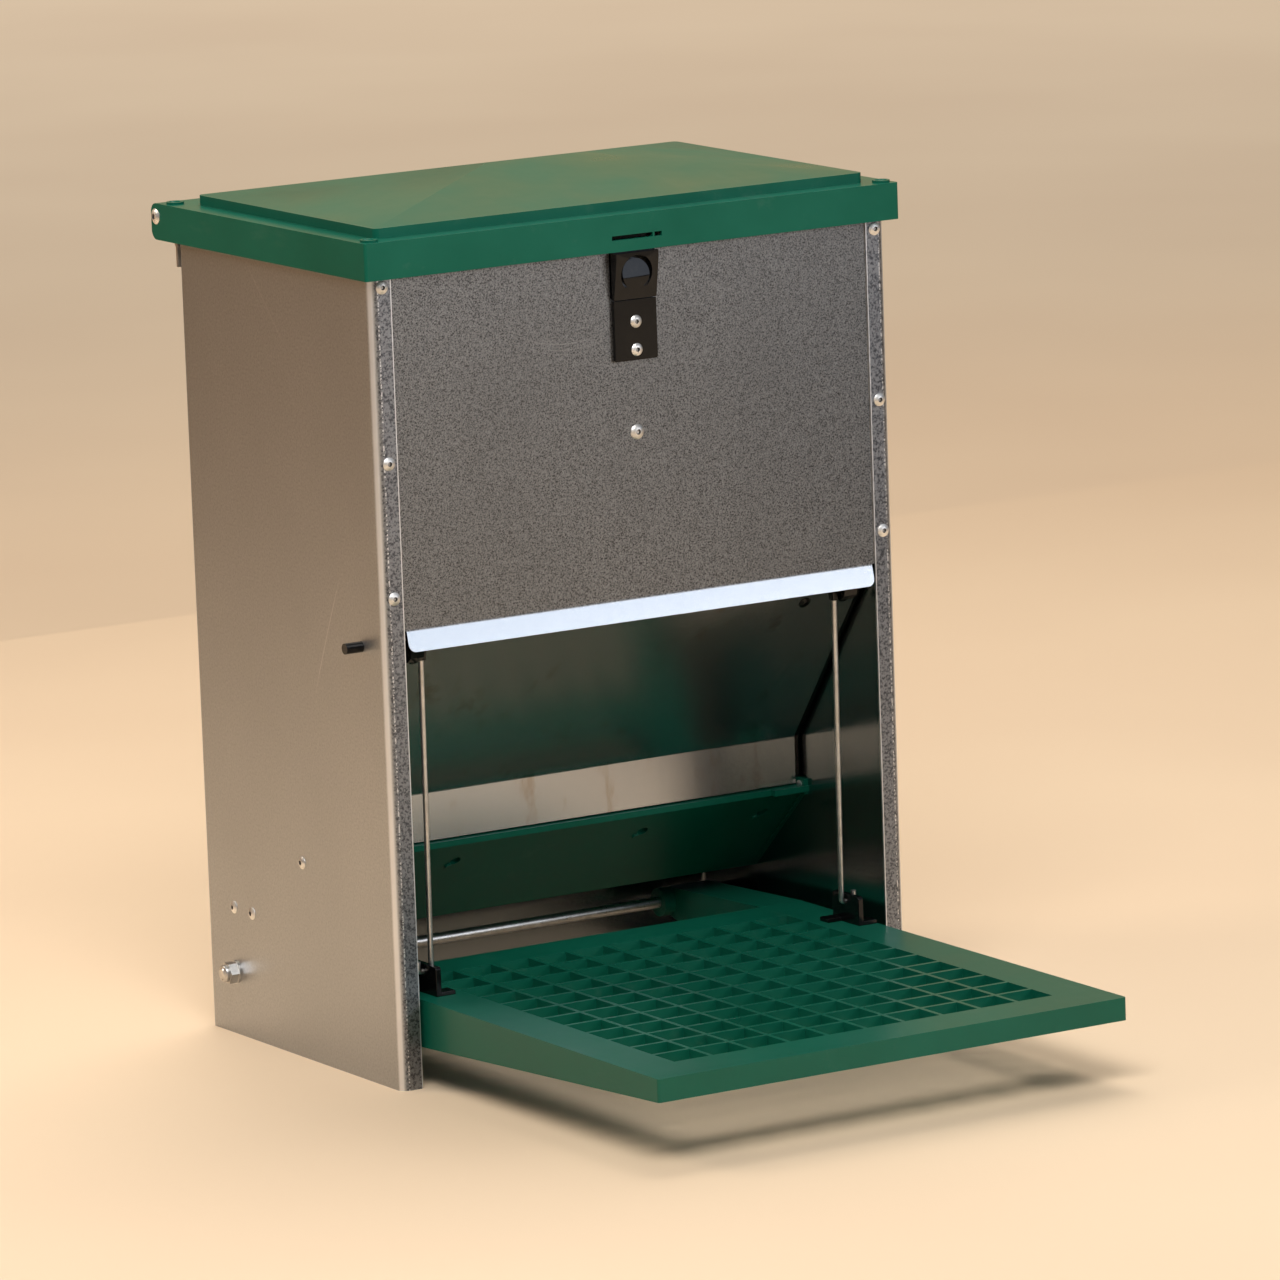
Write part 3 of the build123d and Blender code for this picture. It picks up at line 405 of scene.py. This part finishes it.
# ------------------------------------------------------------------ bevelled copies of the CAD pieces
def softened(node, width_mm, segments=2, angle=30):
    """A copy of a CAD node with its sharp edges rounded, standing in for it."""
    source = nodes[node]
    mesh = source.data.copy()
    mesh.name = node + "_soft"
    work = bmesh.new()
    work.from_mesh(mesh)
    bmesh.ops.remove_doubles(work, verts=work.verts, dist=0.002 * MM)
    bmesh.ops.dissolve_limit(work, angle_limit=radians(0.5), verts=work.verts, edges=work.edges)
    work.to_mesh(mesh)
    work.free()
    if mesh.attributes.get("custom_normal"):
        mesh.attributes.remove(mesh.attributes["custom_normal"])
    piece = bpy.data.objects.new(node + "_piece", mesh)
    bpy.context.scene.collection.objects.link(piece)
    bevel = piece.modifiers.new("bevel", "BEVEL")
    bevel.width = width_mm * MM
    bevel.segments = segments
    bevel.limit_method = "ANGLE"
    bevel.angle_limit = radians(angle)
    bevel.use_clamp_overlap = True
    bevel.harden_normals = False
    mesh.materials.clear()
    mesh.materials.append(finish_of(node))
    for polygon in mesh.polygons:
        polygon.use_smooth = True
    smooth = piece.modifiers.new("weighted", "WEIGHTED_NORMAL")
    smooth.keep_sharp = True
    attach(piece, body_of_node[node])
    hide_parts(node)
    return piece


bevels = {
    "lid": (1.1, 3, 30),
    "treadle": (0.45, 2, 30),
    "trough": (0.5, 2, 30),
    "latch_base": (0.35, 2, 30),
    "latch_tongue": (0.35, 2, 30),
    "flap_arm_left": (0.35, 2, 30),
    "flap_arm_right": (0.35, 2, 30),
    "rod_clip_left": (0.3, 2, 30),
    "rod_clip_right": (0.3, 2, 30),
    "rod_bracket_left": (0.35, 2, 30),
    "rod_bracket_right": (0.35, 2, 30),
    "side_panel_left": (0.2, 1, 30),
    "side_panel_right": (0.2, 1, 30),
    "front_panel": (0.25, 2, 8),
    "back_panel": (0.2, 1, 30),
    "feed_flap": (0.2, 1, 30),
    "hopper_baffle": (0.2, 1, 30),
    "hinge_bracket_left": (0.2, 1, 30),
    "hinge_bracket_right": (0.2, 1, 30),
}
for node, (width, segments, angle) in bevels.items():
    softened(node, width, segments, angle)

for node, thing in nodes.items():
    if node not in bevels:
        thing.data.materials.clear()
        thing.data.materials.append(finish_of(node))


# ------------------------------------------------------------------ floor
def floor_material():
    shader = Shader("floor_paper")
    tone = shader.noise(2.0, detail=2.0)
    base = shader.ramp(tone, "Fac", [(0.3, (0.74, 0.57, 0.40)), (0.7, (0.78, 0.61, 0.43))])
    shader.colour(base)
    shader.set(Roughness=0.85)
    return shader.material


floor_mesh = bpy.data.meshes.new("floor")
reach = 12.0
corners = [(-reach, -reach, 0), (reach, -reach, 0), (reach, reach, 0), (-reach, reach, 0)]
floor_mesh.from_pydata(corners, [], [(0, 1, 2, 3)])
floor = bpy.data.objects.new("floor", floor_mesh)
bpy.context.scene.collection.objects.link(floor)
floor.data.materials.append(floor_material())


# ------------------------------------------------------------------ lights
def soft_box(name, place, target, width, height, power, colour):
    """A rectangular area light aimed at a point."""
    light = bpy.data.lights.new(name, "AREA")
    light.shape = "RECTANGLE"
    light.size = width
    light.size_y = height
    light.energy = power
    light.color = colour
    lamp = bpy.data.objects.new(name, light)
    bpy.context.scene.collection.objects.link(lamp)
    lamp.location = place
    lamp.visible_camera = False
    lamp.rotation_euler = (Vector(target) - Vector(place)).to_track_quat("-Z", "Y").to_euler()
    return lamp


def glow_card(name, corners, colour, strength):
    """An off-camera card that only shows in reflections and lends a little light."""
    mesh = bpy.data.meshes.new(name)
    mesh.from_pydata(corners, [], [(0, 1, 2, 3)])
    card = bpy.data.objects.new(name, mesh)
    bpy.context.scene.collection.objects.link(card)
    material = bpy.data.materials.new(name)
    material.use_nodes = True
    tree = material.node_tree
    tree.nodes.clear()
    glow = tree.nodes.new("ShaderNodeEmission")
    glow.inputs["Color"].default_value = (*colour, 1)
    glow.inputs["Strength"].default_value = strength
    output = tree.nodes.new("ShaderNodeOutputMaterial")
    tree.links.new(glow.outputs["Emission"], output.inputs["Surface"])
    mesh.materials.append(material)
    card.visible_camera = False
    card.visible_shadow = False
    card.visible_diffuse = strength > 0
    return card


middle = (0.0, 0.0, 0.2)
soft_box("key", (-0.65, -1.0, 1.55), (0.0, -0.1, 0.05), 1.0, 0.8, 26, (1.0, 0.97, 0.93))
soft_box("lip_light", (1.5, -2.45, 0.98), (0.0, 0.0, 0.25), 1.2, 0.6, 15, (1.0, 0.98, 0.96))
soft_box("top", (0.5, 0.6, 1.9), middle, 1.0, 0.8, 15, (1.0, 0.93, 0.84))
soft_box("floor_left", (-0.9, 0.75, 1.1), (-0.45, 0.5, 0.0), 0.5, 0.5, 6, (1.0, 0.90, 0.76))
background_light = soft_box("background_light", (3.2, 5.6, 5.0), (3.2, 5.6, 0.0), 7.0, 6.0, 330,
                            (1.0, 0.97, 0.93))
background_light.visible_glossy = False
wall_y = 1.25


def wall_card(name, left, right, low, high, colour, strength):
    """An upright card behind the feeder."""
    corners = [(left, wall_y, low), (right, wall_y, low), (right, wall_y, high), (left, wall_y, high)]
    return glow_card(name, corners, colour, strength)


wall_card("shaded_wall", -3.0, -0.35, 0.0, 1.7, (0.50, 0.27, 0.12), 0.52)
wall_card("low_wall", -0.35, 2.6, 0.0, 0.62, (0.60, 0.42, 0.26), 0.55)
wall_card("bright_wall", -0.35, 1.6, 0.65, 1.05, (0.79, 0.50, 0.22), 1.15)

# a cool card in front, which shows only in reflections
cool_card = glow_card("cool_card", [(0.45, -1.50, 0.50), (1.15, -1.10, 0.50),
                                    (1.15, -1.10, 1.00), (0.45, -1.50, 1.00)], (0.62, 0.72, 0.90), 1.6)
cool_card.visible_diffuse = False

# a dark card, low on the right
glow_card("dark_flag", [(0.32, -0.40, 0.0), (0.95, -0.80, 0.0), (0.95, -0.80, 0.28), (0.32, -0.40, 0.28)],
          (0.0, 0.0, 0.0), 0.0)

world = bpy.data.worlds.new("studio")
world.use_nodes = True
background = world.node_tree.nodes["Background"]
background.inputs["Color"].default_value = (0.44, 0.49, 0.56, 1)
background.inputs["Strength"].default_value = 0.30
bpy.context.scene.world = world
bpy.context.scene.view_settings.view_transform = "Standard"

# ------------------------------------------------------------------ camera
camera_place = Vector((-2.2444, -3.6724, 1.0013))
yaw, pitch, roll = radians(31.3), radians(10.84), radians(-2.03)
forward = Vector((sin(yaw) * cos(pitch), cos(yaw) * cos(pitch), -sin(pitch)))
level = Vector((cos(yaw), -sin(yaw), 0))
upright = level.cross(forward)
right = cos(roll) * level + sin(roll) * upright
up = -sin(roll) * level + cos(roll) * upright
lens = bpy.data.cameras.new("camera")
lens.sensor_width = 36.0
lens.lens = 246.9
lens.shift_x = 0.0062
lens.shift_y = 0.0497
lens.clip_start = 0.1
lens.clip_end = 60.0
camera = bpy.data.objects.new("camera", lens)
bpy.context.scene.collection.objects.link(camera)
axes = Matrix((right, up, -forward)).transposed()
camera.matrix_world = Matrix.Translation(camera_place) @ axes.to_4x4()
bpy.context.scene.camera = camera
